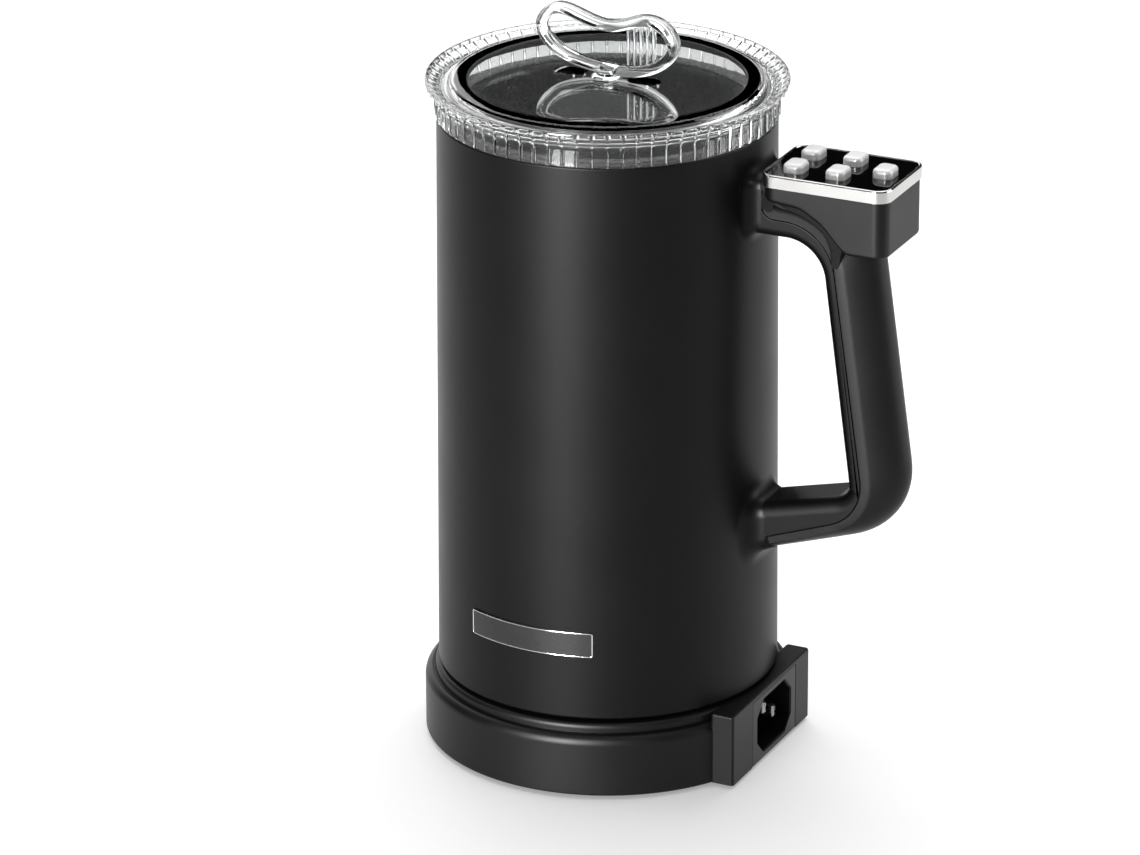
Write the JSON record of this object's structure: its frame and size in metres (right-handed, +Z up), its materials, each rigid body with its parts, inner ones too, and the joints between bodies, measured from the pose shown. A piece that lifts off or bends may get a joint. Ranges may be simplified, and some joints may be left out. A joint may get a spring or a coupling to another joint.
{
  "type": "milk frother",
  "caption": "Electric milk frother: tall black jug with side handle and push-button panel on a round power base, clear ribbed lid with bean-shaped grip, magnetic whisk inside.",
  "frame": {"origin": "on the jug's axis at the plane the base stands on", "axes": "+Z up along the jug's axis, +X from the axis towards the handle and the mains inlet, +Y to the left of the handle seen from the handle's side"},
  "size_m": [0.151, 0.1092, 0.225],
  "materials": {
    "black_plastic": "satin moulded",
    "black_plastic_fine": "fine texture",
    "inlet_plastic": "satin",
    "pin_metal": "nickel plated",
    "contact_brass": "bright",
    "steel": "zinc plated",
    "foot_rubber": "matte",
    "satin_black_coat": "satin powder coat",
    "liner_coating": "non-stick coating",
    "board_green": "solder mask",
    "board_parts": "moulded",
    "white_plastic": "moulded",
    "magnet": "nickel plated",
    "aluminium": "cast",
    "ceramic_white": "matte",
    "whisk_plastic": "satin",
    "wire_steel": "bright stainless",
    "handle_plastic": "satin",
    "chrome": "polished",
    "panel_gloss": "high gloss",
    "badge_face": "gloss with bright edge",
    "clear_plastic": "clear polished",
    "gasket_silicone": "matte silicone",
    "button_white": "gloss"
  },
  "bodies": {
    "base": {"base_housing": "black_plastic", "base_bottom_cover": "black_plastic_fine", "base_screws": "steel", "base_feet": "foot_rubber", "inlet_socket": "inlet_plastic", "inlet_pins": "pin_metal", "base_connector": "black_plastic_fine", "base_contacts": "contact_brass"},
    "jug": {"jug_shell": "satin_black_coat", "jug_liner": "liner_coating", "jug_bottom_cover": "black_plastic_fine", "jug_screws": "steel", "jug_connector": "black_plastic_fine", "jug_contacts": "contact_brass", "control_board": "board_green", "board_parts": "board_parts", "motor": "steel", "motor_bracket": "steel", "heater_ring": "aluminium", "temperature_sensor": "steel", "thermal_cutout": "ceramic_white", "whisk_spindle": "steel", "handle_cover": "handle_plastic", "handle_screws": "steel", "panel_trim": "chrome", "panel_plate": "panel_gloss", "button_board": "board_green", "button_switches": "board_parts", "badge_plate": "badge_face"},
    "rotor": {"drive_shaft": "steel", "magnet_hub": "white_plastic", "drive_magnets": "magnet"},
    "whisk": {"whisk_body": "whisk_plastic", "whisk_magnets": "magnet", "whisk_hoop": "wire_steel", "whisk_coil": "wire_steel"},
    "lid": {"lid_cover": "clear_plastic", "lid_gasket": "gasket_silicone", "lid_handle": "clear_plastic"},
    "key_thick": {"button_thick": "button_white"},
    "key_thin": {"button_thin": "button_white"},
    "key_cold": {"button_cold": "button_white"},
    "key_hot": {"button_hot": "button_white"},
    "key_power": {"button_power": "button_white"}
  },
  "joints": [
    {"name": "jug_lift", "type": "slide", "parent": "base", "child": "jug", "axis": [0, 0, 1], "range_m": [0, 0.12]},
    {"name": "lid_lift", "type": "slide", "parent": "jug", "child": "lid", "axis": [0, 0, 1], "range_m": [0, 0.06]},
    {"name": "rotor_spin", "type": "hinge", "parent": "jug", "child": "rotor", "pos_m": [0, 0, 0.075], "axis": [0, 0, 1], "continuous": true},
    {"name": "whisk_spin", "type": "hinge", "parent": "jug", "child": "whisk", "pos_m": [0, 0, 0.095], "axis": [0, 0, 1], "continuous": true},
    {"name": "thick_press", "type": "slide", "parent": "jug", "child": "key_thick", "axis": [0, 0, -1], "range_m": [0, 0.0008], "stiffness_N_per_m": 400},
    {"name": "thin_press", "type": "slide", "parent": "jug", "child": "key_thin", "axis": [0, 0, -1], "range_m": [0, 0.0008], "stiffness_N_per_m": 400},
    {"name": "cold_press", "type": "slide", "parent": "jug", "child": "key_cold", "axis": [0, 0, -1], "range_m": [0, 0.0008], "stiffness_N_per_m": 400},
    {"name": "hot_press", "type": "slide", "parent": "jug", "child": "key_hot", "axis": [0, 0, -1], "range_m": [0, 0.0008], "stiffness_N_per_m": 400},
    {"name": "power_press", "type": "slide", "parent": "jug", "child": "key_power", "axis": [0, 0, -1], "range_m": [0, 0.0008], "stiffness_N_per_m": 400}
  ],
  "couplings": [
    {"joint": "whisk_spin", "follows": "rotor_spin", "ratio": 1}
  ]
}
